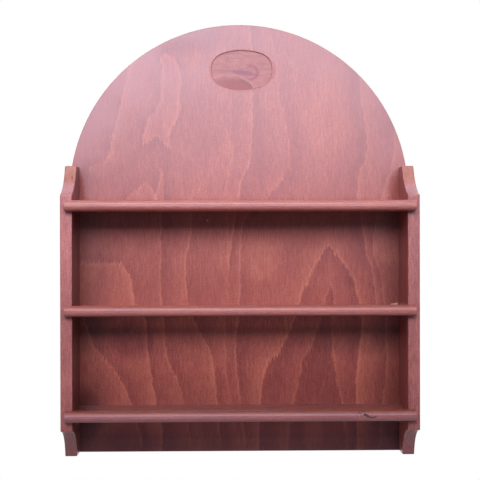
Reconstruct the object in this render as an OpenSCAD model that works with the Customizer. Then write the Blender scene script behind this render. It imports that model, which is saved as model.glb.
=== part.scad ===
// Wall display shelf: an arched plywood back, two coved side boards and three shelves, each with
// a half-round strip on its front edge that laps over the side boards.
// X runs to the right, Y towards the wall and Z up. The wall is the plane Y = 0, the bottom ends
// of the boards are at Z = 0, and X = 0 is the middle of the panel's width.

/* [Overall] */
// Width over the outer faces of the two side boards
rack_w = 440; // [360:1:640]

/* [Side boards] */
// Thickness of each side board
side_t = 15; // [12:0.5:22]
// Depth of each side board, from the back panel to its front edge
side_d = 65; // [55:1:120]
// Height of each side board
side_h = 365; // [350:1:420]

/* [Coves] */
// Height of the hollow curve that is cut from each front corner of a side board
cove_h = 38; // [25:0.5:44]
// Depth of the upper hollow curve where it meets the end of the board
top_cove_d = 42; // [20:0.5:48]
// Radius of the upper hollow curve
top_cove_r = 65; // [40:0.5:160]
// Depth of the lower hollow curve where it meets the end of the board
foot_cove_d = 39; // [20:0.5:45]
// Radius of the lower hollow curve
foot_cove_r = 44; // [36:0.5:160]

/* [Back panel] */
// Thickness of the plywood panel
panel_t = 9; // [8:0.5:14]
// How far the panel's straight edges stand in from the outer faces of the side boards
panel_inset = 2.5; // [0:0.5:5]
// Height at which the straight edges turn into the half-circle arch
spring_h = 330; // [280:1:480]

/* [Oval recess] */
// Width of the oval recess in the front of the panel
recess_w = 79; // [50:1:110]
// Height of the oval recess
recess_h = 50; // [40:1:60]
// Radius of the recess at its left and right ends
recess_end_r = 21.5; // [12:0.5:23]
// Depth of the recess
recess_depth = 1.5; // [0.5:0.1:2.5]
// Distance from the top of the arch down to the centre of the recess
recess_drop = 58; // [45:1:120]
// How far the recess sits to the right of the middle
recess_shift = 4; // [-20:0.5:20]

/* [Shelves] */
// Thickness of each plywood shelf
shelf_t = 9; // [8:0.5:14]
// Height of the underside of the lower shelf
lower_shelf_z = 51; // [46:1:60]
// Step from one shelf to the next
shelf_pitch = 128; // [100:1:130]

/* [Front strips] */
// How far each front strip stands above its shelf, as a lip that keeps things from sliding off
lip_h = 4; // [0:0.5:10]
// Depth of each front strip, from the front edges of the side boards to its half-round front
strip_d = 15; // [12:0.5:30]
// How far each end of a front strip laps over the side board
strip_lap = 9; // [5:0.5:12]
// Radius of a front strip's two front corners, seen from above
strip_end_r = 3; // [1:0.5:6]

/* [Housings] */
// Depth of the groove in each side board that holds the end of a shelf
housing_depth = 4; // [2:0.5:5]
// Clearance between a shelf and its groove
housing_gap = 0.1; // [0.05:0.05:0.3]

/* [Frame screws] */
// Length of the screws that hold the panel to the side boards and the shelves
screw_len = 25; // [18:0.5:40]
// Length of their plain shank, from the cone of the head to where the thread begins
screw_shank_len = 8; // [5:0.5:12]
// Distance from each end of a side board to its nearest screw
side_screw_margin = 18; // [10:1:35]
// How far above the start of the arch the side boards' top screws may be
arch_screw_rise = 17; // [0:1:25]
// Distance between the screws in a shelf
shelf_screw_pitch = 140; // [60:1:150]

/* [Hanger screws] */
// Length of the short screws that hold the hangers
short_screw_len = 7; // [6:0.5:7.5]
// Length of their plain shank
short_shank_len = 0.5; // [0.3:0.1:0.8]

/* [Screw form] */
// Diameter of a screw's countersunk head
screw_head_d = 6; // [5:0.1:8]
// Thickness of the rim round the head
screw_rim = 0.3; // [0.2:0.05:0.5]
// Height of the cone under the head
screw_cone = 1.5; // [1.2:0.1:2.2]
// Diameter of the plain shank
screw_shank_d = 3; // [2.5:0.1:4]
// Diameter of the core that the thread winds round
screw_core_d = 2.2; // [1.6:0.1:2.4]
// Length of the point
screw_tip = 2; // [1:0.5:2.5]
// Width of the cross recess's arms
drive_arm_w = 0.8; // [0.5:0.1:1.2]
// Length across the cross recess
drive_span = 3.2; // [2:0.1:4]
// Depth of the cross recess
drive_depth = 1.1; // [0.5:0.1:1.5]
// How far a head sits below the surface
screw_sink = 0.2; // [0.1:0.05:0.5]
// Clearance round a screw in its hole
screw_gap = 0.1; // [0.05:0.05:0.3]

/* [Hangers] */
// Thickness of each keyhole hanger
hanger_t = 1.5; // [1.2:0.1:2]
// Width of each hanger
hanger_w = 17; // [15:0.5:22]
// Length of each hanger
hanger_l = 50; // [46:1:70]
// Distance between a hanger's two screws
hanger_screw_pitch = 38; // [34:0.5:50]
// Distance from the panel's straight edge to the middle of the hanger
hanger_edge = 60; // [35:1:80]
// Height of the hanger's middle above the start of the arch
hanger_rise = 60; // [0:1:90]
// How far a hanger sits below the back of the panel
hanger_sink = 0.2; // [0.1:0.05:0.5]
// Clearance round a hanger in its rebate
hanger_gap = 0.15; // [0.05:0.05:0.4]

/* [Keyholes] */
// Diameter of the hole that goes over the head of a wall screw
keyhole_d = 10; // [8:0.5:12]
// Width of the neck that the wall screw slides up into
neck_w = 5; // [3.5:0.5:6]
// Height of the neck's end above the middle of the hole
neck_rise = 9; // [7:0.5:12]
// Depth of the pocket behind the keyhole, from the back of the panel
pocket_depth = 6.5; // [5:0.5:7]
// How much wider than the keyhole the pocket is on each side
pocket_margin = 2; // [0.5:0.1:2.4]

/* [Hidden] */
$fn = 96;

// How far a cutter runs past the face that it opens
cut = 1;

// Colours
PANEL_WOOD = [0.72, 0.46, 0.45];
SIDE_WOOD = [0.66, 0.40, 0.38];
SHELF_WOOD = [0.62, 0.35, 0.33];
STRIP_WOOD = [0.70, 0.42, 0.38];
SCREW_STEEL = [0.80, 0.74, 0.52];
HANGER_STEEL = [0.72, 0.73, 0.75];

// Where the main faces are
inner_w = rack_w - 2 * side_t;
panel_w = rack_w - 2 * panel_inset;
arch_r = panel_w / 2;
panel_h = spring_h + arch_r;
front_y = -panel_t - side_d;
strip_front_y = front_y - strip_d;
strip_h = shelf_t + lip_h;
strip_w = inner_w + 2 * strip_lap;
middle_shelf_z = lower_shelf_z + shelf_pitch;
upper_shelf_z = middle_shelf_z + shelf_pitch;

// The centre of a cove's circle, from the corner of the board that the cove is cut from, as the
// distance back and the distance along the board. The circle passes the point cove_h along the
// front edge and the point d back on the end.
function cove_centre(d, r) =
    let (chord = norm([d, cove_h]), reach = sqrt(r * r - chord * chord / 4))
    [d / 2 - cove_h / chord * reach, cove_h / 2 - d / chord * reach];
foot_cove = cove_centre(foot_cove_d, foot_cove_r);
top_cove = cove_centre(top_cove_d, top_cove_r);

// The recess is an oval of four arcs: the long ones meet the end ones without a corner
recess_half_w = recess_w / 2;
recess_half_h = recess_h / 2;
recess_x = recess_shift;
recess_z = panel_h - recess_drop;
recess_long_r = (recess_half_w * recess_half_w + recess_half_h * recess_half_h
    - 2 * recess_half_w * recess_end_r) / (2 * (recess_half_h - recess_end_r));
recess_end_x = recess_half_w - recess_end_r;
recess_long_z = recess_long_r - recess_half_h;
recess_meet_x = recess_end_x * recess_long_r / (recess_long_r - recess_end_r);

// Where the screws and the hangers are
screw_head_h = screw_rim + screw_cone;
lower_bay_z = lower_shelf_z + (shelf_pitch + shelf_t) / 2;
upper_bay_z = lower_bay_z + shelf_pitch;
side_screw_x = (inner_w / 2 + panel_w / 2) / 2;
side_top_screw_z = min(side_h - side_screw_margin, spring_h + arch_screw_rise);
side_screw_zs = [side_screw_margin, lower_bay_z, upper_bay_z, side_top_screw_z];
shelf_screw_xs = [-shelf_screw_pitch, 0, shelf_screw_pitch];
hanger_x = panel_w / 2 - hanger_edge;
hanger_z = spring_h + hanger_rise;
hanger_floor = hanger_sink + hanger_t;
keyhole_z = hanger_z - neck_rise / 2;
hanger_screw_zs = [hanger_z - hanger_screw_pitch / 2, hanger_z + hanger_screw_pitch / 2];

// Stands a drawing made in Y and Z upright and gives it a width along X
module along_x(x, w) {
    translate([x, 0, 0])
        rotate([90, 0, 90])
            linear_extrude(w)
                children();
}

// Stands a drawing made in X and Z upright, with its front face at y and its back at y + t
module upright(y, t) {
    translate([0, y + t, 0])
        rotate([90, 0, 0])
            linear_extrude(t)
                children();
}

// A slot with round ends, of width w, from z = low to z = high between the ends' centres
module slot_outline(x, low, high, w) {
    translate([x - w / 2, low])
        square([w, high - low]);
    for (z = [low, high])
        translate([x, z])
            circle(d = w);
}

// Half the section of a screw or of its hole, from the head down along the axis
function screw_section(len, shank, gap, mouth) = [
    [0, -mouth],
    [screw_head_d / 2 + gap, -mouth],
    [screw_head_d / 2 + gap, screw_rim],
    [screw_shank_d / 2 + gap, screw_head_h],
    [screw_shank_d / 2 + gap, screw_head_h + shank],
    [screw_core_d / 2 + gap, screw_head_h + shank],
    [screw_core_d / 2 + gap, len - screw_tip],
    [0, len + gap]
];

// A screw driven from the back towards the front, its head's face sunk to depth
module screw_at(x, z, len, shank, depth) {
    translate([x, -depth, z])
        rotate([90, 0, 0])
            difference() {
                rotate_extrude()
                    polygon(screw_section(len, shank, 0, 0));
                for (turn = [0, 90])
                    rotate([0, 0, turn])
                        translate([-drive_span / 2, -drive_arm_w / 2, -cut])
                            cube([drive_span, drive_arm_w, drive_depth + cut]);
            }
}

// The hole that a screw needs, with its countersink open to the back
module screw_hole_at(x, z, len, shank, depth) {
    translate([x, -depth, z])
        rotate([90, 0, 0])
            rotate_extrude()
                polygon(screw_section(len, shank, screw_gap, depth + cut));
}

module frame_screw_at(x, z) screw_at(x, z, screw_len, screw_shank_len, screw_sink);

module frame_hole_at(x, z) screw_hole_at(x, z, screw_len, screw_shank_len, screw_sink);

module side_holes(side) {
    for (z = side_screw_zs)
        frame_hole_at(side * side_screw_x, z);
}

module shelf_holes(z) {
    for (x = shelf_screw_xs)
        frame_hole_at(x, z + shelf_t / 2);
}

module hanger_screw_holes(side) {
    for (z = hanger_screw_zs)
        screw_hole_at(side * hanger_x, z, short_screw_len, short_shank_len, hanger_sink);
}

module panel_outline() {
    translate([-panel_w / 2, 0])
        square([panel_w, spring_h]);
    intersection() {
        translate([0, spring_h])
            circle(r = arch_r);
        translate([-panel_w / 2, spring_h])
            square([panel_w, arch_r]);
    }
}

module recess_outline() {
    translate([recess_x, recess_z]) {
        intersection() {
            translate([0, -recess_long_z])
                circle(r = recess_long_r);
            translate([0, recess_long_z])
                circle(r = recess_long_r);
            translate([-recess_meet_x, -recess_half_h])
                square([2 * recess_meet_x, recess_h]);
        }
        for (side = [-1, 1])
            translate([side * recess_end_x, 0])
                circle(r = recess_end_r);
    }
}

module hanger_outline(side, grow) {
    slot_outline(
        side * hanger_x,
        hanger_z - (hanger_l - hanger_w) / 2,
        hanger_z + (hanger_l - hanger_w) / 2,
        hanger_w + 2 * grow
    );
}

module back_panel() {
    color(PANEL_WOOD)
        difference() {
            upright(-panel_t, panel_t)
                panel_outline();
            upright(-panel_t - cut, recess_depth + cut)
                recess_outline();
            for (side = [-1, 1]) {
                side_holes(side);
                upright(-hanger_floor, hanger_floor + cut)
                    hanger_outline(side, hanger_gap);
                upright(-pocket_depth, pocket_depth)
                    slot_outline(
                        side * hanger_x,
                        keyhole_z,
                        keyhole_z + neck_rise,
                        keyhole_d + 2 * pocket_margin
                    );
                hanger_screw_holes(side);
            }
            for (z = [lower_shelf_z, middle_shelf_z, upper_shelf_z])
                shelf_holes(z);
        }
}

module side_outline() {
    difference() {
        translate([front_y, 0])
            square([side_d, side_h]);
        translate([front_y + foot_cove[0], foot_cove[1]])
            circle(r = foot_cove_r);
        translate([front_y + top_cove[0], side_h - top_cove[1]])
            circle(r = top_cove_r);
    }
}

// The left side board: the right one is its mirror image
module side_board() {
    color(SIDE_WOOD)
        difference() {
            along_x(-rack_w / 2, side_t)
                side_outline();
            for (z = [lower_shelf_z, middle_shelf_z, upper_shelf_z])
                translate([-inner_w / 2 - housing_depth, front_y - cut, z - housing_gap])
                    cube([housing_depth + cut, side_d + 2 * cut, shelf_t + 2 * housing_gap]);
            side_holes(-1);
        }
}

module left_side() side_board();

module right_side() mirror([1, 0, 0]) side_board();

module shelf(z) {
    end_out = housing_depth - housing_gap;
    color(SHELF_WOOD)
        difference() {
            translate([-inner_w / 2 - end_out, front_y, z])
                cube([inner_w + 2 * end_out, side_d, shelf_t]);
            shelf_holes(z);
        }
}

module lower_shelf() shelf(lower_shelf_z);

module middle_shelf() shelf(middle_shelf_z);

module upper_shelf() shelf(upper_shelf_z);

// A front strip seen from above, with its two front corners rounded
module strip_plan() {
    translate([-strip_w / 2, strip_front_y + strip_end_r])
        square([strip_w, strip_d - strip_end_r]);
    translate([-strip_w / 2 + strip_end_r, strip_front_y])
        square([strip_w - 2 * strip_end_r, strip_d]);
    for (side = [-1, 1])
        translate([side * (strip_w / 2 - strip_end_r), strip_front_y + strip_end_r])
            circle(r = strip_end_r);
}

// A front strip seen from its end: flat above, below and behind, with a half-round front
module strip_end_view(z) {
    translate([strip_front_y + strip_h / 2, z])
        square([strip_d - strip_h / 2, strip_h]);
    translate([strip_front_y + strip_h / 2, z + strip_h / 2])
        circle(d = strip_h);
}

module front_strip(z) {
    color(STRIP_WOOD)
        intersection() {
            translate([0, 0, z])
                linear_extrude(strip_h)
                    strip_plan();
            along_x(-strip_w / 2, strip_w)
                strip_end_view(z);
        }
}

module lower_front_strip() front_strip(lower_shelf_z);

module middle_front_strip() front_strip(middle_shelf_z);

module upper_front_strip() front_strip(upper_shelf_z);

module side_screws(side) {
    color(SCREW_STEEL)
        for (z = side_screw_zs)
            frame_screw_at(side * side_screw_x, z);
}

module left_side_screws() side_screws(-1);

module right_side_screws() side_screws(1);

module shelf_screws(z) {
    color(SCREW_STEEL)
        for (x = shelf_screw_xs)
            frame_screw_at(x, z + shelf_t / 2);
}

module lower_shelf_screws() shelf_screws(lower_shelf_z);

module middle_shelf_screws() shelf_screws(middle_shelf_z);

module upper_shelf_screws() shelf_screws(upper_shelf_z);

// A flat steel hanger with round ends, a keyhole in the middle and a screw hole near each end
module hanger(side) {
    color(HANGER_STEEL)
        difference() {
            upright(-hanger_floor, hanger_t)
                hanger_outline(side, 0);
            upright(-hanger_floor - cut, hanger_t + 2 * cut) {
                translate([side * hanger_x, keyhole_z])
                    circle(d = keyhole_d);
                slot_outline(side * hanger_x, keyhole_z, keyhole_z + neck_rise, neck_w);
            }
            hanger_screw_holes(side);
        }
}

module left_hanger() hanger(-1);

module right_hanger() hanger(1);

module hanger_screws(side) {
    color(SCREW_STEEL)
        for (z = hanger_screw_zs)
            screw_at(side * hanger_x, z, short_screw_len, short_shank_len, hanger_sink);
}

module left_hanger_screws() hanger_screws(-1);

module right_hanger_screws() hanger_screws(1);

back_panel();
left_side();
right_side();
lower_shelf();
middle_shelf();
upper_shelf();
lower_front_strip();
middle_front_strip();
upper_front_strip();
left_side_screws();
right_side_screws();
lower_shelf_screws();
middle_shelf_screws();
upper_shelf_screws();
left_hanger();
right_hanger();
left_hanger_screws();
right_hanger_screws();
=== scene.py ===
import math

import bmesh
import bpy
from mathutils import Matrix, Vector


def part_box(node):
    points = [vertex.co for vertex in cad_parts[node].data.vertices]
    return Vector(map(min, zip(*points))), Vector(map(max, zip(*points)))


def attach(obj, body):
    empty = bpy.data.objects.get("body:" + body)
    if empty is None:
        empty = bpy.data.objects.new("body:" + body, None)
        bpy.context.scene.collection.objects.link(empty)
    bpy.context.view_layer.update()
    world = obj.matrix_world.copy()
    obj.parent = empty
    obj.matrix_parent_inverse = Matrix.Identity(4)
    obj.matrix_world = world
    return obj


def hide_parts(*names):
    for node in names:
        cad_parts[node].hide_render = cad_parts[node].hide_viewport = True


# Wall display shelf, stained and lacquered. Metres, X to the right, Y towards the wall, Z up.
# Materials work in millimetres.

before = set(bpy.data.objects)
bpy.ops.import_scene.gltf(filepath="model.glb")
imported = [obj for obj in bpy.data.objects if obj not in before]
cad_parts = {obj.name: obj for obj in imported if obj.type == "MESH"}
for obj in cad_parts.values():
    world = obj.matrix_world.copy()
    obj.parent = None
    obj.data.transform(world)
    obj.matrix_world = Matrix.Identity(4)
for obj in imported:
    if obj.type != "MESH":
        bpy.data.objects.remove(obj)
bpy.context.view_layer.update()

LEVELS = ("lower", "middle", "upper")


def corners_mm(node):
    """The lowest and the highest corner of a CAD node, in millimetres."""
    return [corner * 1000 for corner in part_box(node)]


PANEL_LOW, PANEL_HIGH = corners_mm("back_panel")
BOARD_LOW, BOARD_HIGH = corners_mm("right_side")
STRIP_LOW, _ = corners_mm("lower_front_strip")
LOWER_SHELF, MIDDLE_SHELF, UPPER_SHELF = (corners_mm(f"{level}_shelf")[1].z for level in LEVELS)

PANEL_FRONT = PANEL_LOW.y
ARCH_R = (PANEL_HIGH.x - PANEL_LOW.x) / 2
ARCH_Z = PANEL_HIGH.z - ARCH_R
INSIDE, OUTSIDE, BOARD_TOP = BOARD_LOW.x, BOARD_HIGH.x, BOARD_HIGH.z
PLY = 1.3
# The oval recess, which the frame gives no box for
RECESS_X, RECESS_Z, RECESS_W, RECESS_H = 4.0, 489.5, 79.0, 50.0


# Node arithmetic

class Number:
    """A number that a material works out at each point. Arithmetic on it adds Math nodes."""

    def __init__(self, finish, socket):
        self.finish = finish
        self.socket = socket

    def math(self, operation, *others):
        return self.finish.node("ShaderNodeMath", {"operation": operation}, [self, *others])

    def __add__(self, other):
        return self.math("ADD", other)

    __radd__ = __add__

    def __mul__(self, other):
        return self.math("MULTIPLY", other)

    def __sub__(self, other):
        return self.math("SUBTRACT", other)

    def __rsub__(self, other):
        return self.finish.node("ShaderNodeMath", {"operation": "SUBTRACT"}, [other, self])

    def __truediv__(self, other):
        return self.math("DIVIDE", other)

    def __mod__(self, other):
        return self.math("MODULO", other)

    def __abs__(self):
        return self.math("ABSOLUTE")

    def __pow__(self, other):
        return self.math("POWER", other)


class Finish:
    """One material and the nodes that paint it."""

    def __init__(self, name):
        self.material = bpy.data.materials.new(name)
        self.material.use_nodes = True
        self.tree = self.material.node_tree
        self.tree.nodes.clear()
        place = self.node("ShaderNodeTexCoord", {}, [], output="Object")
        self.x, self.y, self.z = (
            Number(self, s) * 1000
            for s in self.node("ShaderNodeSeparateXYZ", {}, [place]).socket.node.outputs)

    def node(self, kind, settings, inputs, output=0):
        """Adds a node. Inputs are given in order or by name, as numbers, colours or results."""
        made = self.tree.nodes.new(kind)
        for key, value in settings.items():
            if key == "stops":
                ramp = made.color_ramp
                while len(ramp.elements) < len(value):
                    ramp.elements.new(0.5)
                for stop, (place, colour) in zip(ramp.elements, value):
                    stop.position = place
                    stop.color = (*colour, 1)
            elif key == "points":
                curve = made.mapping.curves[0]
                while len(curve.points) < len(value):
                    curve.points.new(0.5, 0.5)
                for point, spot in zip(curve.points, value):
                    point.location = spot
                for point in curve.points:
                    point.handle_type = "AUTO_CLAMPED"
                made.mapping.extend = "HORIZONTAL"
                made.mapping.update()
            else:
                setattr(made, key, value)
        named = inputs.items() if isinstance(inputs, dict) else enumerate(inputs)
        for key, value in named:
            if isinstance(value, Number):
                self.tree.links.new(value.socket, made.inputs[key])
            elif isinstance(value, tuple) and len(value) == 3 and made.inputs[key].type == "RGBA":
                made.inputs[key].default_value = (*value, 1)
            else:
                made.inputs[key].default_value = value
        return Number(self, made.outputs[output]) if len(made.outputs) else None

    def spot(self, x, y, z):
        return self.node("ShaderNodeCombineXYZ", {}, [x, y, z])

    def noise(self, x, y, z, detail=2.0, roughness=0.5):
        """Noise from -0.5 to 0.5, one wave to a unit of what it is given."""
        return self.node("ShaderNodeTexNoise", {"noise_dimensions": "3D"}, {
            "Vector": self.spot(x, y, z), "Scale": 1.0, "Detail": detail,
            "Roughness": roughness}) - 0.5

    def between(self, value, low, high, out_low=0.0, out_high=1.0):
        """Goes smoothly from out_low to out_high while value goes from low to high."""
        return self.node("ShaderNodeMapRange", {"interpolation_type": "SMOOTHSTEP"}, {
            "Value": value, "From Min": low, "From Max": high,
            "To Min": out_low, "To Max": out_high}, output="Result")

    def until(self, value, low, high, share=1.0):
        """Goes smoothly from share to 0 while value goes from low to high."""
        return self.between(value, low, high, share, 0.0)

    def around(self, x, z, wide, tall):
        """0 at a place, 1 on the oval with these half sizes around it, and more outside."""
        return ((self.x - x) / wide) ** 2 + ((self.z - z) / tall) ** 2

    def curve(self, value, points):
        """A smooth curve through the points, which lie between 0 and 1."""
        return self.node("ShaderNodeFloatCurve", {"points": points}, {"Value": value})

    def profile(self, value, points, span, top=1.0):
        """A smooth curve through points of value and result. The values lie within the span,
        the results between 0 and top."""
        low, high = span
        spots = [((at - low) / (high - low), result / top) for at, result in points]
        return self.curve((value - low) / (high - low), spots) * top

    def least(self, a, b):
        return self.node("ShaderNodeMath", {"operation": "MINIMUM"}, [a, b])

    def mix(self, share, a, b, blend="MIX"):
        return self.node("ShaderNodeMix", {
            "data_type": "RGBA", "blend_type": blend}, {0: share, 6: a, 7: b}, output=2)

    def blend(self, share, a, b):
        """From number a, where share is 0, to number b, where it is 1."""
        return self.node("ShaderNodeMix", {"data_type": "FLOAT"}, {0: share, 2: a, 3: b})

    def shade(self, colour, tint, share=1.0):
        """Multiplies a colour by a grey or a tint, as far as the share says."""
        return self.mix(share, colour, tint, blend="MULTIPLY")

    def stained(self, tone, colours):
        """Wood of a tone: the first colour at -1, the second at 0 and the third at 1."""
        stops = list(zip((0.0, 0.5, 1.0), colours))
        return self.node("ShaderNodeValToRGB", {"stops": stops}, [tone * 0.5 + 0.5])

    def grain(self, across, other, along):
        """Fibres, flecks and streaks of several sizes, from about -1 to 1."""
        tone = self.noise(across / 1.3, other / 1.3, along / 1.7, detail=1.0) * 2.6
        for wide, long, share in ((0.8, 9, 1.9), (2.0, 12, 1.1), (4.5, 26, 0.5), (11, 34, 0.4)):
            tone = tone + self.noise(across / wide, other / wide, along / long, detail=1.0) * share
        return tone

    def relief(self, across, other, along):
        """The low ridges and hollows that the fibres leave under the lacquer."""
        return (self.noise(across / 2.2, other / 2.2, along / 24, detail=1.0)
                + self.noise(across / 6, other / 6, along / 60, detail=0.0) * 1.5)

    def wood(self, colour, roughness, height, depth, gloss=0.88):
        """Finishes with a lacquered wood surface. Height is the relief, depth its size in metres."""
        bump = self.node("ShaderNodeBump", {}, {
            "Strength": 1.0, "Distance": depth, "Height": height})
        surface = self.node("ShaderNodeBsdfPrincipled", {}, {
            "Base Color": colour, "Roughness": roughness, "Specular IOR Level": gloss,
            "Specular Tint": (0.68, 0.80, 1.0), "Normal": bump})
        self.node("ShaderNodeOutputMaterial", {}, {"Surface": surface})
        return self.material


# Colours

VENEER = (0.200, 0.044, 0.048), (0.360, 0.093, 0.081), (0.560, 0.175, 0.130)
OVAL_PLY = (0.230, 0.050, 0.050), (0.350, 0.094, 0.082), (0.480, 0.145, 0.115)
BOARD = (0.190, 0.044, 0.048), (0.350, 0.096, 0.094), (0.540, 0.170, 0.145)
STRIP = (0.220, 0.054, 0.052), (0.390, 0.110, 0.096), (0.590, 0.190, 0.145)
SHEEN_LAVENDER = (0.420, 0.170, 0.185)
PALE_DOT = (0.750, 0.620, 0.600)
PALE_CRUMB = (0.640, 0.380, 0.400)
DARK_FLECK = (0.140, 0.036, 0.034)
KNOT = (0.030, 0.008, 0.012)
FLAT_PLY, END_PLY, PALE_FIBRE = (0.300, 0.100, 0.070), (0.130, 0.035, 0.030), (0.380, 0.150, 0.100)
COVE_SHEEN_LOW, COVE_SHEEN_HIGH = (0.470, 0.220, 0.235), (0.420, 0.160, 0.124)
WHITE = (1.0, 1.0, 1.0)


# The veneer's figure

# Grain lines of the veneer as (height, place across) in millimetres, from the top down: the wood
# pales towards the line from its left and drops to mauve on its right. The last number is how
# strong the line is.
LINES = [
    ([(165, -198), (147, -191), (131, -184), (116, -170), (99, -156), (80, -147), (61, -139),
      (14, -125)], 0.36),
    ([(320, -100), (245, -101), (190, -100), (171, -97), (131, -95), (112, -90), (94, -81),
      (58, -71), (14, -63)], 0.27),
    ([(320, -60), (282, -62), (262, -65), (250, -69), (207, -68), (190, -66), (162, -56),
      (127, -37), (104, -33), (58, -29), (14, -24)], 0.28),
    ([(307, -14), (245, -14), (190, -15), (169, -18), (110, -18), (82, -14), (52, -10),
      (14, 0)], 0.15),
    ([(545, 13), (515, 17), (462, 17), (425, 17), (395, 16), (370, 13), (348, 3), (329, 0),
      (307, -4), (245, -13)], 0.34),
    ([(545, 37), (529, 42), (493, 50), (453, 52), (418, 61)], 0.15),
    ([(410, 62), (395, 64), (377, 66), (359, 61), (342, 50)], 0.2),
    ([(350, 56), (328, 37), (302, 9), (280, 3), (188, 0), (127, -5), (92, -2), (59, 2),
      (14, 7)], 0.30),
    ([(457, -22), (438, -23), (412, -17), (384, -8), (354, -13), (338, -17)], 0.12),
    ([(450, -9), (411, -10), (381, -6), (353, -10)], 0.1),
]

# The same with the sides changed over: mauve on the left and pale on the right of the line
LINES_TURNED = [
    ([(500, 150), (489, 154), (456, 156), (425, 161), (395, 164), (375, 162), (353, 153),
      (328, 152), (306, 155), (258, 163), (225, 171), (190, 176)], 0.34),
    ([(440, 204), (409, 200), (381, 199), (345, 189), (315, 180), (285, 173), (257, 172),
      (234, 179), (193, 185), (140, 188), (109, 189), (59, 183), (13, 179)], 0.23),
    ([(500, -138), (489, -142), (453, -150), (432, -155), (393, -165), (377, -169),
      (369, -180), (364, -194)], 0.42),
]

# Arches as (height, left edge, right edge), from the crown down, pale outside and mauve inside
ARCHES = [
    ([(264, 115, 115), (256, 107, 122), (246, 102, 130), (231, 94, 141), (219, 89, 148),
      (206, 81, 150), (188, 77, 154), (164, 69, 157), (139, 56, 155), (125, 50, 153),
      (115, 39, 152), (92, 30, 150), (59, 27, 150), (14, 24, 151)], 0.46),
    ([(212, 118, 118), (193, 110, 121), (170, 104, 119), (147, 97, 118), (132, 91, 119),
      (120, 83, 120), (84, 75, 126), (60, 69, 131), (14, 62, 137)], 0.28),
]

# The same with the sides changed over: pale inside. After the points come the heights where the
# shape is cut off below and above, the place across of the notch in its foot, if it has one, and
# the strength.
ISLANDS = [
    ([(510, -96, -92), (502, -101, -82), (489, -99, -76), (473, -101, -74), (457, -101, -77),
      (445, -105, -75), (434, -109, -77), (430, -116, -79), (418, -120, -83), (406, -124, -89),
      (390, -124, -88)], 405, 600, -107.5, 0.34),
    ([(344, -124, -118), (338, -130, -112), (330, -140, -108), (318, -150, -104)],
     312, 600, None, 0.34),
    ([(366, -101, -99), (350, -103, -97), (335, -106, -97), (318, -110, -96)],
     312, 600, None, 0.3),
    ([(262, -262, -163), (252, -262, -156), (240, -262, -150), (224, -262, -141),
      (203, -262, -136), (190, -262, -134), (171, -262, -121), (139, -262, -118),
      (111, -262, -115), (58, -262, -106), (33, -262, -99)], -60, 243, None, 0.34),
]

# Soft paler and darker patches as (place across, height, half width, half height, tone)
PATCHES = [
    (-70, 530, 50, 20, -0.4), (115, 425, 38, 80, 0.3), (196, 440, 18, 40, -0.3),
    (-185, 352, 45, 26, -0.3), (-140, 142, 28, 24, -0.5), (-175, 165, 40, 20, -0.3),
    (25, 250, 30, 32, 0.32), (148, 240, 13, 60, -0.3), (190, 258, 14, 20, 0.3),
    (190, 218, 20, 26, -0.12), (148, 455, 7, 40, -0.15), (-138, 12, 32, 26, -0.5),
    (-94, 12, 14, 30, -0.22), (-56, 18, 9, 34, 0.25), (94, 18, 13, 34, 0.36),
    (146, 18, 10, 34, -0.3), (182, 18, 34, 36, -0.3), (188, 4, 14, 16, 0.3),
    (-200, 45, 20, 34, -0.6),
]

# How the tone runs across a line, as (millimetres from it, tone), from its pale side to its mauve
REACH = 40.0
LINE_TONE = [(-40, 0.0), (-26, 0.03), (-14, 0.22), (-6, 0.45), (-3, 0.6), (-2, 1.15),
             (-0.6, 1.35), (0.6, -0.35), (4, -0.48), (9, -0.4), (14, -0.2), (20, -0.05), (40, 0.0)]
ARCH_TONE = [(-40, 0.0), (-28, 0.15), (-16, 0.35), (-8, 0.55), (-3, 0.75), (-2, 1.1),
             (-0.6, 1.25), (0.6, -0.2), (4, -0.45), (9, -0.55), (18, -0.42), (30, -0.28),
             (40, -0.2)]
ISLAND_TONE = [(-40, 0.0), (-20, -0.15), (-8, -0.35), (-0.8, -0.6), (0.8, 1.3), (3, 1.1),
               (7, 0.6), (14, 0.45), (40, 0.3)]

# The figure's curves are drawn on a field this high and twice this wide
FIELD_H, FIELD_HALF = 550.0, 270.0

# How far the lines stray up and down and waver sideways, and how far past its ends a line fades out
RAGGED, WAVER, FADE = 22, 6, 16
# This far above its crown, an outline's half width is as far below zero
CROWN = 60
# How steep the notch in a foot is
NOTCH = 0.8


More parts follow.
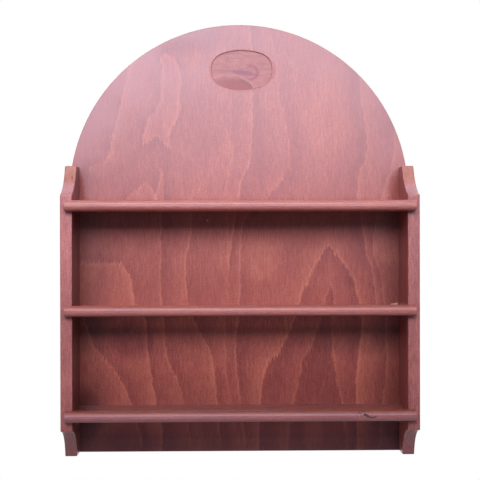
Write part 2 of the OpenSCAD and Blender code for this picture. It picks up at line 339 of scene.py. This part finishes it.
def panel_tone(f):
    """The tone of the veneer's figure: about -1 in the mauve beside a line, 1 on its pale rim."""
    high = f.z + f.noise(f.x / 1.6, 0.0, f.z / 34, detail=1.0) * RAGGED
    across = f.x + f.noise(f.x / 8, 3.0, f.z / 9, detail=2.0) * WAVER
    height = high / FIELD_H
    tone = 0.0

    def place(points):
        """Where a line lies across, at each height."""
        spots = sorted((h / FIELD_H, 0.5 + 0.5 * x / FIELD_HALF) for h, x in points)
        return (f.curve(height, spots) - 0.5) * (2 * FIELD_HALF)

    def inside(points):
        """How far a point lies inside an outline that is open below."""
        middle = place([(h, (a + b) / 2) for h, a, b in points])
        widths = sorted((h / FIELD_H, 0.5 + (b - a) / 4 / FIELD_HALF) for h, a, b in points)
        widths.append(((points[0][0] + CROWN) / FIELD_H, 0.5 - CROWN / 2 / FIELD_HALF))
        half = (f.curve(height, widths) - 0.5) * (2 * FIELD_HALF)
        return half - abs(across - middle)

    def across_line(beyond, tones, strength):
        """The tone at each distance beyond a line. Tones from -2 to 2 fill the curve's height."""
        spots = [(0.5 + mm / REACH / 2, 0.5 + t / 4) for mm, t in tones]
        return (f.curve(beyond / (2 * REACH) + 0.5, spots) - 0.5) * (4 * strength)

    def span(points):
        """1 between the ends of a line, fading out past them."""
        lowest, highest = points[-1][0], points[0][0]
        return f.between(f.z, lowest - FADE, lowest) * f.until(f.z, highest, highest + FADE)

    for lines, side in ((LINES, 1), (LINES_TURNED, -1)):
        for points, strength in lines:
            beyond = (across - place(points)) * side
            tone = tone + across_line(beyond, LINE_TONE, strength) * span(points)
    for points, strength in ARCHES:
        tone = tone + across_line(inside(points), ARCH_TONE, strength)
    for points, foot, top, notch, strength in ISLANDS:
        over = high - foot if notch is None else high - foot + abs(across - notch) * NOTCH
        depth = f.least(f.least(inside(points), over), top - high)
        tone = tone + across_line(depth, ISLAND_TONE, strength)
    for x, z, wide, tall, change in PATCHES:
        away = ((across - x) / wide) ** 2 + ((f.z - z) / tall) ** 2
        tone = tone + f.until(away, 0.0, 1.6, change)
    return tone


# The panel's finish. Profiles are points of (height, result), or of (place across, result).

# How strong the painted lavender sheen along the arch is, across it
SHEEN_ACROSS = [(-250, 0.64), (-150, 0.62), (-70, 0.42), (50, 0.16), (100, 0.26), (175, 0.36),
                (250, 0.36)]
# Painted shade by height in the bays, with a painted lighter band in the shadow under the middle shelf
BAY_SHADE = [(0, 0.80), (22.4, 0.90), (35.2, 0.90), (48, 0.74), (60.8, 0.74), (108.8, 0.86),
             (147.2, 0.88), (151.68, 0.964), (156.8, 1.16), (160.64, 1.40), (164.8, 1.54),
             (169.6, 1.46), (179.2, 1.31), (187.2, 0.91), (262.4, 0.93), (288, 0.90), (320, 0.90)]
VENEER_ROUGHNESS = [(0, 0.27), (22, 0.27), (71.5, 0.17), (93.5, 0.17), (132, 0.23), (165, 0.20),
                    (198, 0.25), (247.5, 0.26), (280.5, 0.24), (316.25, 0.24), (330, 0.35),
                    (357.5, 0.375), (396, 0.42), (550, 0.43)]
VENEER_RELIEF = [(0, 0.1), (55, 0.6), (176, 0.5), (209, 0.12), (286, 0.12), (341, 1.0), (550, 1.0)]
# The upper edge of the darker patch in the oval recess, as a height over SUNK_Z
SUNK_Z = 460
SUNK_EDGE = [(-40, 13.5), (-29.6, 18.6), (-17.6, 20.4), (-1.6, 20.1), (8, 16.2), (15.2, 11.4),
             (19.2, 0.0)]

# Painted shade spots in the bays as (place across, height, half width, half height, where the shade
# # starts to fade and where it ends, in those half sizes squared, and the darkest share)
SHADE_SPOTS = [
    (150, 147, 80, 25, 0.1, 1.3, 0.78), (-195, 147, 40, 25, 0.1, 1.3, 0.84),
    (-205, 60, 36, 30, 0.0, 1.4, 0.74),
]

DOT_X, DOT_Z, DOT_R = -41.1, 296.5, 1.5
CRUMB_X = 199.1


def veneer_finish():
    """The panel: veneer, plainer on the back, with bare plies on its edge and in the recess."""
    f = Finish("stained_veneer")
    fibre = f.grain(f.x, f.y, f.z)
    left, right = f.x + INSIDE, INSIDE - f.x
    below = f.until(f.z, UPPER_SHELF - 10, UPPER_SHELF - 2)
    back = f.between(f.y, PANEL_FRONT + 2, PANEL_FRONT + 4)
    # The veneer's colour is multiplied by painted shade
    face = f.shade(veneer_face(f, fibre, below, back), painted_shade(f, left, right, below, back))
    face = f.mix(f.blend(back, crumb(f), 0.0), face, PALE_CRUMB)
    in_oval = f.until(f.around(RECESS_X, RECESS_Z, RECESS_W / 2, RECESS_H / 2), 1.14, 1.24)
    in_wood = f.between(f.y, PANEL_FRONT + 0.3, PANEL_FRONT + 0.6) * f.until(f.y, -0.6, -0.3)
    colour = f.mix(in_wood, face, f.mix(in_oval, ply_edge(f, fibre), oval_floor(f)))
    # The lacquer is glossier between the shelves and beside the side boards' tops
    rough = f.profile(f.z, VENEER_ROUGHNESS, (0, FIELD_H))
    beside_board = f.until(f.least(left + 6, right), 7, 20)
    beside_board = beside_board * f.until(f.z, BOARD_TOP - 20, BOARD_TOP + 3)
    beside_board = beside_board * f.between(f.z, UPPER_SHELF - 6, UPPER_SHELF)
    rough = f.blend(beside_board, rough, 0.21) + fibre * f.blend(below, 0.02, 0.005)
    relief = f.relief(f.x, f.y, f.z) * f.profile(f.z, VENEER_RELIEF, (0, FIELD_H))
    return f.wood(colour, f.blend(in_oval, rough, 0.50), f.blend(in_oval, relief, 0.0), 0.00005)


def veneer_face(f, fibre, below, back):
    """The veneer with a painted lavender sheen along the arch, before painted shade darkens it."""
    cloud = f.noise(f.x / 40, f.y / 40, f.z / 80, detail=2.0)
    # The fibres stand out less in the bays, and least at the foot
    fine = f.between(f.z, MIDDLE_SHELF - 8, MIDDLE_SHELF + 2, 0.52, 0.42)
    fine = f.blend(below, 0.56, fine * f.between(f.z, LOWER_SHELF - 20, LOWER_SHELF, 0.6, 1.0))
    tone = panel_tone(f) * f.between(f.z, MIDDLE_SHELF - 8, MIDDLE_SHELF + 7, 1.3, 1.0)
    tone = (tone + fibre * fine + cloud * 0.8) * f.blend(below, 1.0, 1.3)
    # The back is a plainer sheet, stained evenly
    plain = f.noise(f.x / 13, 5.0, f.z / 260) * 1.5 + f.noise(f.x / 45, 7.0, f.z / 320) * 1.2
    tone = f.blend(back, tone, plain + fibre * 0.5 + cloud * 0.5)
    # Painted lavender sheen along the arch, on the front only
    face = f.mix(f.blend(back, painted_sheen(f), 0.0), f.stained(tone, VENEER), SHEEN_LAVENDER)
    dot = f.until(f.around(DOT_X, DOT_Z, DOT_R, DOT_R), 0.3, 1.2, 0.5)
    return f.mix(f.blend(back, dot, 0.0), face, PALE_DOT)


def painted_sheen(f):
    """A painted lavender sheen, patchy, along the arch and most on its left."""
    from_middle = ((f.x / 10) ** 2 + ((f.z - ARCH_Z) / 10) ** 2) ** 0.5 * 10
    patchy = f.noise(f.x / 34, 9.0, f.z / 34, detail=2.0) * 80
    more = f.until(f.around(-78, 452, 55, 50), 0.0, 1.4, 24)
    less = f.until(f.around(-72, 512, 40, 22), 0.0, 1.4, 45)
    share = f.between(from_middle + patchy + more - less, 140, 225)
    share = share * f.between(f.z, ARCH_Z + 10, ARCH_Z + 70)
    return share * f.profile(f.x, SHEEN_ACROSS, (-250, 250))


def painted_shade(f, left, right, below, back):
    """Painted shade that the veneer's colour is multiplied by: darker between and under the shelves,
    most of all in the corners with the side boards, beside the boards' tops and along the foot of the
    panel, with a painted lighter band in the shadow under the middle shelf and redder and mauve
    tints in the shade. The back is even."""
    bay = f.profile(f.z, BAY_SHADE, (0, 320), top=2.0)
    bay = bay * f.between(left, 12, 50, 0.70, 1.0) * f.between(right, -5, 62, 0.60, 1.0)
    for x, z, wide, tall, start, end, darkest in SHADE_SPOTS:
        bay = bay * f.between(f.around(x, z, wide, tall), start, end, darkest, 1.0)
    # Painted shade on the panel beside the side boards' tops, and along the foot under the lower shelf
    ledge = f.between(left, 2, 22, 0.82, 1.0) * f.between(right, 3, 20, 0.74, 1.0)
    ledge = f.blend(f.between(f.z, BOARD_TOP - 20, BOARD_TOP + 7), ledge, 1.0)
    foot = f.between(f.z, 6, 28, 0.44, 1.0)
    # Painted shade tints: redder in the lower bay and under the upper shelf, mauve just under the lower
    # shelf
    tint = f.mix(f.until(f.z, MIDDLE_SHELF - 8, MIDDLE_SHELF + 12), WHITE, (1.0, 0.93, 0.92))
    under_shelf = f.between(f.z, UPPER_SHELF - 54, UPPER_SHELF - 34) * below
    tint = f.mix(under_shelf, tint, (0.98, 0.84, 0.82))
    tint = f.shade(tint, f.blend(below, ledge, bay) * foot)
    tint = f.shade(tint, (0.90, 0.82, 0.92), f.until(f.z, LOWER_SHELF - 16, LOWER_SHELF - 4))
    return f.mix(back, tint, (0.85, 0.85, 0.85))


def crumb(f):
    """A pale crumb where the panel meets the middle shelf."""
    level = f.z - (f.x - CRUMB_X) * 0.1
    top = f.until(level, MIDDLE_SHELF + 0.6, MIDDLE_SHELF + 1.8)
    foot = f.between(f.z, MIDDLE_SHELF - 1, MIDDLE_SHELF - 0.5)
    return f.until(abs(f.x - CRUMB_X), 4.0, 5.0) * top * foot


def ply_edge(f, fibre):
    """The plies on the panel's outer edge: thin bands, every other one end grain."""
    band = (f.y - PANEL_FRONT).math("PINGPONG", PLY)
    edge = f.mix(f.between(band, 0.5, 0.8), FLAT_PLY, END_PLY)
    return f.mix(f.between(fibre, -0.2, 0.3) * 0.5, edge, PALE_FIBRE)


def oval_floor(f):
    """The floor of the oval recess: a ply whose grain runs across, with a leaf, a trail and a
    curl in its figure, and a darker patch with a sharp upper edge below them."""
    figure = (f.noise(f.x / 22, 0.0, f.z / 2.2, detail=2.0) + f.noise(f.x / 12, 4.0, f.z / 6) * 0.9
              + f.noise(f.x / 2.5, 6.0, f.z / 1.6, detail=1.0) * 0.7)
    wave = f.noise(f.x / 9, 2.0, f.z / 5) * 5 + f.noise(f.x / 2, 2.0, f.z / 2) * 1.6
    leaf = abs(f.z + wave + f.x * 0.12 - 486.8) + ((f.x - 4) / 12) ** 2 * 1.6
    trail = abs(f.z + wave * 0.6 - 488.5) + f.between(f.x, -14, 0) * 9
    curl = abs(((f.x - 14) / 9.5) ** 2 + ((f.z + wave - 486.5) / 9) ** 2 - 1.0)
    sunk = f.profile(f.x, SUNK_EDGE, (-40, 40), top=30.0) + SUNK_Z - f.z + wave
    rim = f.until(abs(sunk - 2.4), 0.4, 3.4, 0.5)
    floor = f.stained(figure * 2.0, OVAL_PLY)
    for share, colour in (
            (f.until(leaf, 1.5, 5.0, 0.9), (0.240, 0.036, 0.060)),
            (f.until(trail, 0.8, 2.6, 0.4), (0.300, 0.066, 0.090)),
            (f.until(curl, 0.15, 0.7, 0.84) * f.between(f.x, 6, 15), (0.270, 0.030, 0.036)),
            # The darker patch, the dark line inside its upper edge and the pale one outside it
            (f.between(sunk, -2.0, 5.0, 0.0, 0.88) * f.between(f.x, -34, -12, 0.5, 1.0),
             (0.258, 0.026, 0.012)),
            (rim * f.between(f.x, -4, 6) * f.until(f.x, 15, 19), (0.130, 0.004, 0.002)),
            (f.until(abs(sunk + 2.4), 0.6, 2.4, 0.4), (0.440, 0.150, 0.145))):
        floor = f.mix(share, floor, colour)
    return floor


# The finishes of the boards, strips and shelves

FLECK_X, FLECK_Z = -209.6, 349.4
KNOT_X, KNOT_Z = 158.4, 56.4


def board_finish():
    """Solid wood with the grain up and down, for the side boards."""
    f = Finish("stained_side_board")

    def boards(on_left, on_right):
        """One value for the left board and another for the right one."""
        return f.between(f.x, -INSIDE, INSIDE, on_left, on_right)

    fibre = f.grain(f.x, f.y, f.z)
    sway = f.noise(f.x / 30, f.y / 30, f.z / 160, detail=1.0) * 9
    rings = f.noise((f.x + sway) / 3.2, (f.y + sway) / 3.2, f.z / 150, detail=2.0)
    cloud = f.noise(f.x / 30, f.y / 30, f.z / 60, detail=2.0)
    tone = fibre * boards(0.76, 1.0) + rings * 0.8 + cloud * 0.8
    colour = f.stained(tone, BOARD)
    # Painted sheen: the coved ends above the upper shelf are paler, more on the right than the left,
    # and one has a dark fleck
    inner = f.until(abs(f.x), INSIDE + 0.2, INSIDE + 1.2)
    outer = f.between(abs(f.x), OUTSIDE - 0.8, OUTSIDE - 0.2)
    top = f.between(f.z, UPPER_SHELF + 6, UPPER_SHELF + 18, 0.0, 0.85)
    top = top * f.blend(inner, 1.0, 0.0) * f.blend(outer, 1.0, 0.2)
    cove_sheen = f.mix(f.between(f.z, UPPER_SHELF + 20, UPPER_SHELF + 32), COVE_SHEEN_LOW, COVE_SHEEN_HIGH)
    colour = f.mix(top, colour, f.shade(cove_sheen, (tone * 0.35 + 1.0) * boards(0.90, 1.10)))
    slant = (f.x - FLECK_X + (f.z - FLECK_Z) * 0.1) ** 2
    fleck = f.until(slant + ((f.z - FLECK_Z) / 4) ** 2, 0.3, 1.2, 0.75)
    colour = f.mix(fleck, colour, DARK_FLECK)
    # Painted light and shade: the inner faces are darker, most between the shelves and on the left, and
    # redder between the shelves; the fronts are lighter on the left than the right and darker at the
    # feet and below the middle shelf
    bay = f.until(f.z, UPPER_SHELF - 8, UPPER_SHELF)
    dark = f.blend(bay, boards(0.58, 1.12), boards(0.46, 0.84))
    foot = f.blend(f.between(f.z, LOWER_SHELF - 30, LOWER_SHELF - 10), boards(0.58, 0.72), 1.0)
    front = boards(1.11, 0.95) * foot * f.between(f.z, MIDDLE_SHELF - 8, MIDDLE_SHELF + 12, 0.94, 1.0)
    colour = f.shade(colour, f.blend(inner, front, dark))
    colour = f.shade(colour, (1.0, 0.86, 0.82), inner * f.blend(bay, 0.25, 1.0))
    rough = f.blend(inner, 0.44, 0.30) + fibre * 0.02
    relief = (f.relief(f.x, f.y, f.z) + rings * 0.4) * f.blend(inner, 1.0, 0.1)
    return f.wood(colour, rough, relief, 0.00005)


def cross_grain(f, contrast, light):
    """Wood with the grain from left to right: its fibres, its relief and its colour, which has painted
    light that makes it paler higher up."""
    fibre = f.grain(f.z * 1.3, f.y * 1.3, f.x)
    rings = f.noise(f.x / 170, f.y / 3.0, f.z / 3.0, detail=2.0)
    cloud = f.noise(f.x / 60, f.y / 20, f.z / 20, detail=2.0)
    tone = (fibre * 0.65 + rings * 0.7 + cloud * 0.6) * contrast
    colour = f.shade(f.stained(tone, STRIP), f.between(f.z, 50, 310, 0.86, 1.12) * light)
    return fibre, f.relief(f.z, f.y, f.x) + rings * 0.4, colour


def strip_finish():
    """Glossy solid wood for the front strips, with painted shade and sheen in bands from their
    undersides up.
    """
    f = Finish("stained_strip")
    fibre, relief, colour = cross_grain(f, 1.0, 1.0)
    up = (f.z - STRIP_LOW.z) % (MIDDLE_SHELF - LOWER_SHELF)
    upper = f.between(f.z, 200, 300)
    lower = f.until(f.z, 70, 170)
    for share, tint in (
            # Painted shade on the undersides, a mauve front on the lower strip, painted shade at mid
            # height on the other two, a painted sheen on the upper strip's crest and painted shade on
            # the other crests, and painted shade on the lower strip's rim at the top
            (f.until(up, 0.5, 4.5), (0.76, 0.62, 0.62)),
            (f.until(up, 8.0, 11.0) * lower, (1.0, 1.02, 1.22)),
            (f.until(abs(up - 5.8), 0.6, 1.8) * f.blend(lower, 1.0, 0.0),
             f.mix(upper, (0.90, 0.88, 0.89), (0.95, 1.04, 1.06))),
            (f.between(up, 8.5, 11.0), f.mix(upper, (0.92, 0.84, 0.72), (1.04, 1.26, 1.26))),
            (f.between(up, 12.2, 12.9) * lower, (0.78, 0.65, 0.61))):
        colour = f.shade(colour, tint, share)
    # Painted shade: the undersides are darker towards the right
    colour = f.shade(colour, f.between(up - f.x * 0.006, -2.0, 1.2, 0.45, 1.0))
    dark = knot(f)
    rough = f.blend(dark, f.between(f.z, 200, 300, 0.48, 0.42), 0.85) + fibre * 0.03
    return f.wood(f.mix(dark, colour, KNOT), rough, relief, 0.00007, gloss=0.95)


def knot(f):
    """How dark the small knot on the lower strip is: a crescent, an eye and a few short checks."""
    away = f.x - KNOT_X
    crescent = f.until(abs(f.z - KNOT_Z - away * away * 0.055), 0.3, 1.3, 0.9)
    crescent = crescent * f.until(abs(away), 5.0, 7.0)
    eye = f.until(f.around(KNOT_X - 7.4, KNOT_Z + 3.0, 3.0, 1.8), 0.2, 1.3, 0.9)
    checks = f.between(f.noise(f.x / 2.4, 0.0, f.z / 1.6), 0.0, 0.1)
    near = f.until(f.around(KNOT_X - 9.4, KNOT_Z + 3.6, 13, 5), 0.3, 1.2)
    front = f.until(f.y, STRIP_LOW.y + 9, STRIP_LOW.y + 11)
    return (crescent + eye * 0.8 + checks * near * 0.7) * front


def shelf_finish():
    """Duller wood for the shelves, with painted shade in the left corner of the lower one."""
    f = Finish("stained_shelf")
    fibre, relief, colour = cross_grain(f, 1.5, 0.80)
    # Painted shade in the lower shelf's left corner
    corner = f.between(f.x, -200, -165, 0.66, 1.0)
    colour = f.shade(colour, f.blend(f.between(f.z, 70, 100), corner, 1.0))
    return f.wood(colour, fibre * 0.03 + 0.25, relief, 0.00007, gloss=0.05)


def steel_finish(name, colour, roughness):
    """Plated steel with light wear, for the screws and hangers."""
    f = Finish(name)
    wear = f.noise(f.x / 1.5, f.y / 1.5, f.z / 1.5, detail=3.0)
    shade = f.mix(f.between(wear, -0.3, 0.3), tuple(c * 0.85 for c in colour), colour)
    surface = f.node("ShaderNodeBsdfPrincipled", {}, {
        "Base Color": shade, "Metallic": 1.0, "Roughness": roughness + wear * 0.15})
    f.node("ShaderNodeOutputMaterial", {}, {"Surface": surface})
    return f.material


# Pieces

# How far edges are rounded over, in metres, and a length that counts as none
PANEL_EASE, BOARD_EASE, STRIP_END_EASE, STRIP_BACK_EASE = 0.0008, 0.0012, 0.0014, 0.0008
TINY = 1e-6
# The share of a strip's height that the edges of its front are rounded over by
NOSE = 0.497
# Edges sharper than this count as edges
SHARP = math.radians(25)
# The heights where the grooves begin and end, in millimetres
GROOVE_EDGES = [corner.z for level in LEVELS for corner in corners_mm(f"{level}_shelf")]
# How far the oval's rim is moved and trimmed sideways, in millimetres. Its fullness would be 2
# for an ellipse.
OVAL_SHIFT, OVAL_TRIM, OVAL_FULLNESS = -0.7, 0.8, 2.2


def give(piece, material):
    piece.data.materials.clear()
    piece.data.materials.append(material)


def rounded(bm, edges, width, segments):
    bmesh.ops.bevel(bm, geom=edges, offset=width, offset_type="OFFSET", segments=segments,
                    profile=0.5, affect="EDGES", clamp_overlap=False, material=-1)


def finished(bm, name, node):
    """Makes the piece that stands for a CAD node."""
    mesh = bpy.data.meshes.new(name)
    bm.to_mesh(mesh)
    bm.free()
    for face in mesh.polygons:
        face.use_smooth = True
    mesh.set_sharp_from_angle(angle=math.radians(32))
    piece = bpy.data.objects.new(name, mesh)
    bpy.context.scene.collection.objects.link(piece)
    weighted = piece.modifiers.new("even_shading", "WEIGHTED_NORMAL")
    weighted.keep_sharp = True
    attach(piece, "root")
    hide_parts(node)
    return piece


def softened(node, name, chosen, width):
    """A copy of a CAD node whose chosen sharp edges are rounded over. It stands for the node."""
    bm = bmesh.new()
    bm.from_mesh(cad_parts[node].data)
    bmesh.ops.remove_doubles(bm, verts=bm.verts, dist=TINY)
    bmesh.ops.dissolve_limit(bm, angle_limit=math.radians(0.2), use_dissolve_boundaries=False,
                             verts=bm.verts, edges=bm.edges)
    edges = []
    for edge in bm.edges:
        start, end = (v.co for v in edge.verts)
        if edge.is_manifold and edge.calc_face_angle() > SHARP:
            if chosen((start + end) * 500, (end - start).normalized()):
                edges.append(edge)
    rounded(bm, edges, width, segments=3)
    return finished(bm, name, node)


def panel_edges(middle, along):
    """The panel's outline, front and back, and the rim of the oval recess."""
    front = abs(middle.y - PANEL_FRONT) < 0.05
    back = abs(middle.y) < 0.05
    out = (abs(abs(middle.x) - ARCH_R) < 0.1 or middle.z < 0.1
           or abs(math.hypot(middle.x, middle.z - ARCH_Z) - ARCH_R) < 0.3)
    return front or (back and out)


def board_edges(middle, along):
    """A side board's outline on both faces and the corners of its coves, but not its grooves."""
    on_face = any(abs(abs(middle.x) - face) < 0.05 for face in (INSIDE, OUTSIDE))
    in_groove = any(abs(middle.z - height) < 0.3 for height in GROOVE_EDGES)
    across = abs(along.x) > 0.9
    behind = middle.y > PANEL_FRONT - 0.1
    return (on_face or across) and not in_groove and not behind and abs(middle.x) > INSIDE - 1


def front_strip(level):
    """A front strip: a bar whose front is turned half-round and whose ends are eased."""
    node = f"{level}_front_strip"
    low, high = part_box(node)
    size, middle = high - low, (high + low) / 2
    bm = bmesh.new()
    bmesh.ops.create_cube(bm, size=1.0, matrix=Matrix.Translation(middle) @ Matrix.Diagonal((*size, 1)))

    def level_edges(y):
        """The edges at a depth that run level."""
        return [e for e in bm.edges if all(abs(v.co.y - y) < TINY for v in e.verts)
                and abs(e.verts[0].co.z - e.verts[1].co.z) < TINY]

    rounded(bm, level_edges(low.y), size.z * NOSE, segments=10)
    bmesh.ops.remove_doubles(bm, verts=bm.verts, dist=TINY)
    ends = [e for e in bm.edges
            if all(abs(abs(v.co.x - middle.x) - size.x / 2) < TINY for v in e.verts)]
    rounded(bm, ends, STRIP_END_EASE, segments=4)
    back = [e for e in level_edges(high.y) if e.calc_length() > size.x / 2]
    rounded(bm, back, STRIP_BACK_EASE, segments=3)
    return finished(bm, f"{level}_strip", node)


def fuller_oval(panel):
    """Swells the shoulders of the oval recess, which is a little narrower than its four arcs."""
    for spot in panel.data.vertices:
        across = (spot.co.x * 1000 - RECESS_X) * 2 / RECESS_W
        up = (spot.co.z * 1000 - RECESS_Z) * 2 / RECESS_H
        out = math.hypot(across, up)
        if out < 1.1:
            powers = (abs(across) / out) ** OVAL_FULLNESS + (abs(up) / out) ** OVAL_FULLNESS
            swell = powers ** (-1 / OVAL_FULLNESS)
            spot.co.x = (RECESS_X + OVAL_SHIFT + across * swell * (RECESS_W / 2 - OVAL_TRIM)) / 1000
            spot.co.z = (RECESS_Z + up * swell * RECESS_H / 2) / 1000


veneer, board = veneer_finish(), board_finish()
strip, shelf = strip_finish(), shelf_finish()
yellow_zinc = steel_finish("yellow_zinc", (0.72, 0.60, 0.32), 0.32)
bright_zinc = steel_finish("bright_zinc", (0.66, 0.67, 0.69), 0.38)

panel = softened("back_panel", "arched_panel", panel_edges, PANEL_EASE)
fuller_oval(panel)
give(panel, veneer)
for side in ("left", "right"):
    piece = softened(f"{side}_side", f"{side}_side_board", board_edges, BOARD_EASE)
    give(piece, board)
for level in LEVELS:
    piece = front_strip(level)
    give(piece, strip)
    give(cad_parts[f"{level}_shelf"], shelf)
for name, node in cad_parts.items():
    if name.endswith("_screws"):
        give(node, yellow_zinc)
    elif name.endswith("_hanger"):
        give(node, bright_zinc)


# Stage

def area_light(name, place, target, width, height, power, colour=WHITE, spread=180):
    data = bpy.data.lights.new(name, "AREA")
    data.shape = "RECTANGLE"
    data.size, data.size_y = width, height
    data.energy = power
    data.color = colour
    data.spread = math.radians(spread)
    lamp = bpy.data.objects.new(name, data)
    lamp.location = place
    lamp.rotation_euler = (Vector(target) - Vector(place)).to_track_quat("-Z", "Y").to_euler()
    lamp.visible_camera = False
    bpy.context.scene.collection.objects.link(lamp)


def stage():
    bm = bmesh.new()
    bmesh.ops.create_circle(bm, cap_ends=True, segments=96, radius=1.1,
                            matrix=Matrix.Translation((0, 0, -0.35)))
    mesh = bpy.data.meshes.new("floor")
    bm.to_mesh(mesh)
    bm.free()
    floor = bpy.data.objects.new("floor", mesh)
    bpy.context.scene.collection.objects.link(floor)
    f = Finish("pale_floor")
    surface = f.node("ShaderNodeBsdfPrincipled", {}, {
        "Base Color": (0.82, 0.82, 0.82), "Roughness": 0.9})
    f.node("ShaderNodeOutputMaterial", {}, {"Surface": surface})
    give(floor, f.material)


def surroundings(low, high):
    """White for the camera, for reflections from behind the object and for rays let through. For
    all else, a weak light that grows from low at the horizon to high overhead."""
    world = bpy.data.worlds.new("studio")
    world.use_nodes = True
    bpy.context.scene.world = world
    nodes, links = world.node_tree.nodes, world.node_tree.links
    nodes.clear()
    path = nodes.new("ShaderNodeLightPath")
    ahead = nodes.new("ShaderNodeTexCoord")
    split = nodes.new("ShaderNodeSeparateXYZ")
    links.new(ahead.outputs["Generated"], split.inputs[0])

    def math_node(operation, a, b):
        node = nodes.new("ShaderNodeMath")
        node.operation = operation
        for socket, value in zip(node.inputs, (a, b)):
            links.new(value, socket)
        return node.outputs[0]

    def ranged(value, from_low, from_high, to_low, to_high, interpolation):
        node = nodes.new("ShaderNodeMapRange")
        node.interpolation_type = interpolation
        for key, number in (("From Min", from_low), ("From Max", from_high),
                            ("To Min", to_low), ("To Max", to_high)):
            node.inputs[key].default_value = number
        links.new(value, node.inputs["Value"])
        return node.outputs["Result"]

    behind = ranged(split.outputs["Y"], -0.1, 0.2, 0.0, 1.0, "LINEAR")
    glossy = math_node("MULTIPLY", path.outputs["Is Glossy Ray"], behind)
    seen = math_node("MAXIMUM", path.outputs["Is Camera Ray"], glossy)
    seen = math_node("MAXIMUM", seen, path.outputs["Is Transmission Ray"])
    sky = ranged(split.outputs["Z"], -0.1, 0.9, low, high, "SMOOTHSTEP")
    background = nodes.new("ShaderNodeBackground")
    links.new(math_node("MAXIMUM", seen, sky), background.inputs["Strength"])
    background.inputs["Color"].default_value = (1, 1, 1, 1)
    output = nodes.new("ShaderNodeOutputWorld")
    links.new(background.outputs[0], output.inputs[0])


def camera():
    """The photograph's view: about 1.3 m in front, a little left of the middle, at half height."""
    place, lens = (-0.02474, -1.32777, 0.27485), 77.01
    turn, dip, roll = -1.10, 0.152, -0.109
    data = bpy.data.cameras.new("front_view")
    data.sensor_width = 36
    data.lens = lens
    view = bpy.data.objects.new("front_view", data)
    view.matrix_world = (Matrix.Translation(place)
                         @ Matrix.Rotation(math.radians(turn), 4, "Z")
                         @ Matrix.Rotation(math.radians(90 - dip), 4, "X")
                         @ Matrix.Rotation(math.radians(roll), 4, "Z"))
    bpy.context.scene.collection.objects.link(view)
    bpy.context.scene.camera = view


stage()
camera()
surroundings(low=0.10, high=0.70)
area_light("key", place=(-0.18, -1.40, 0.98), target=(-0.06, 0, 0.40), width=0.85, height=0.66,
           power=2.52, colour=(0.98, 0.99, 1.0), spread=48.5)
area_light("side_key", place=(0.52, -1.33, 0.80), target=(0.10, 0, 0.45), width=0.45, height=0.45,
           power=0.42, spread=45)
area_light("back_fill", place=(0.5, 1.6, 0.9), target=(0, 0, 0.25), width=1.2, height=1.2, power=12)
bpy.context.scene.view_settings.view_transform = "Standard"
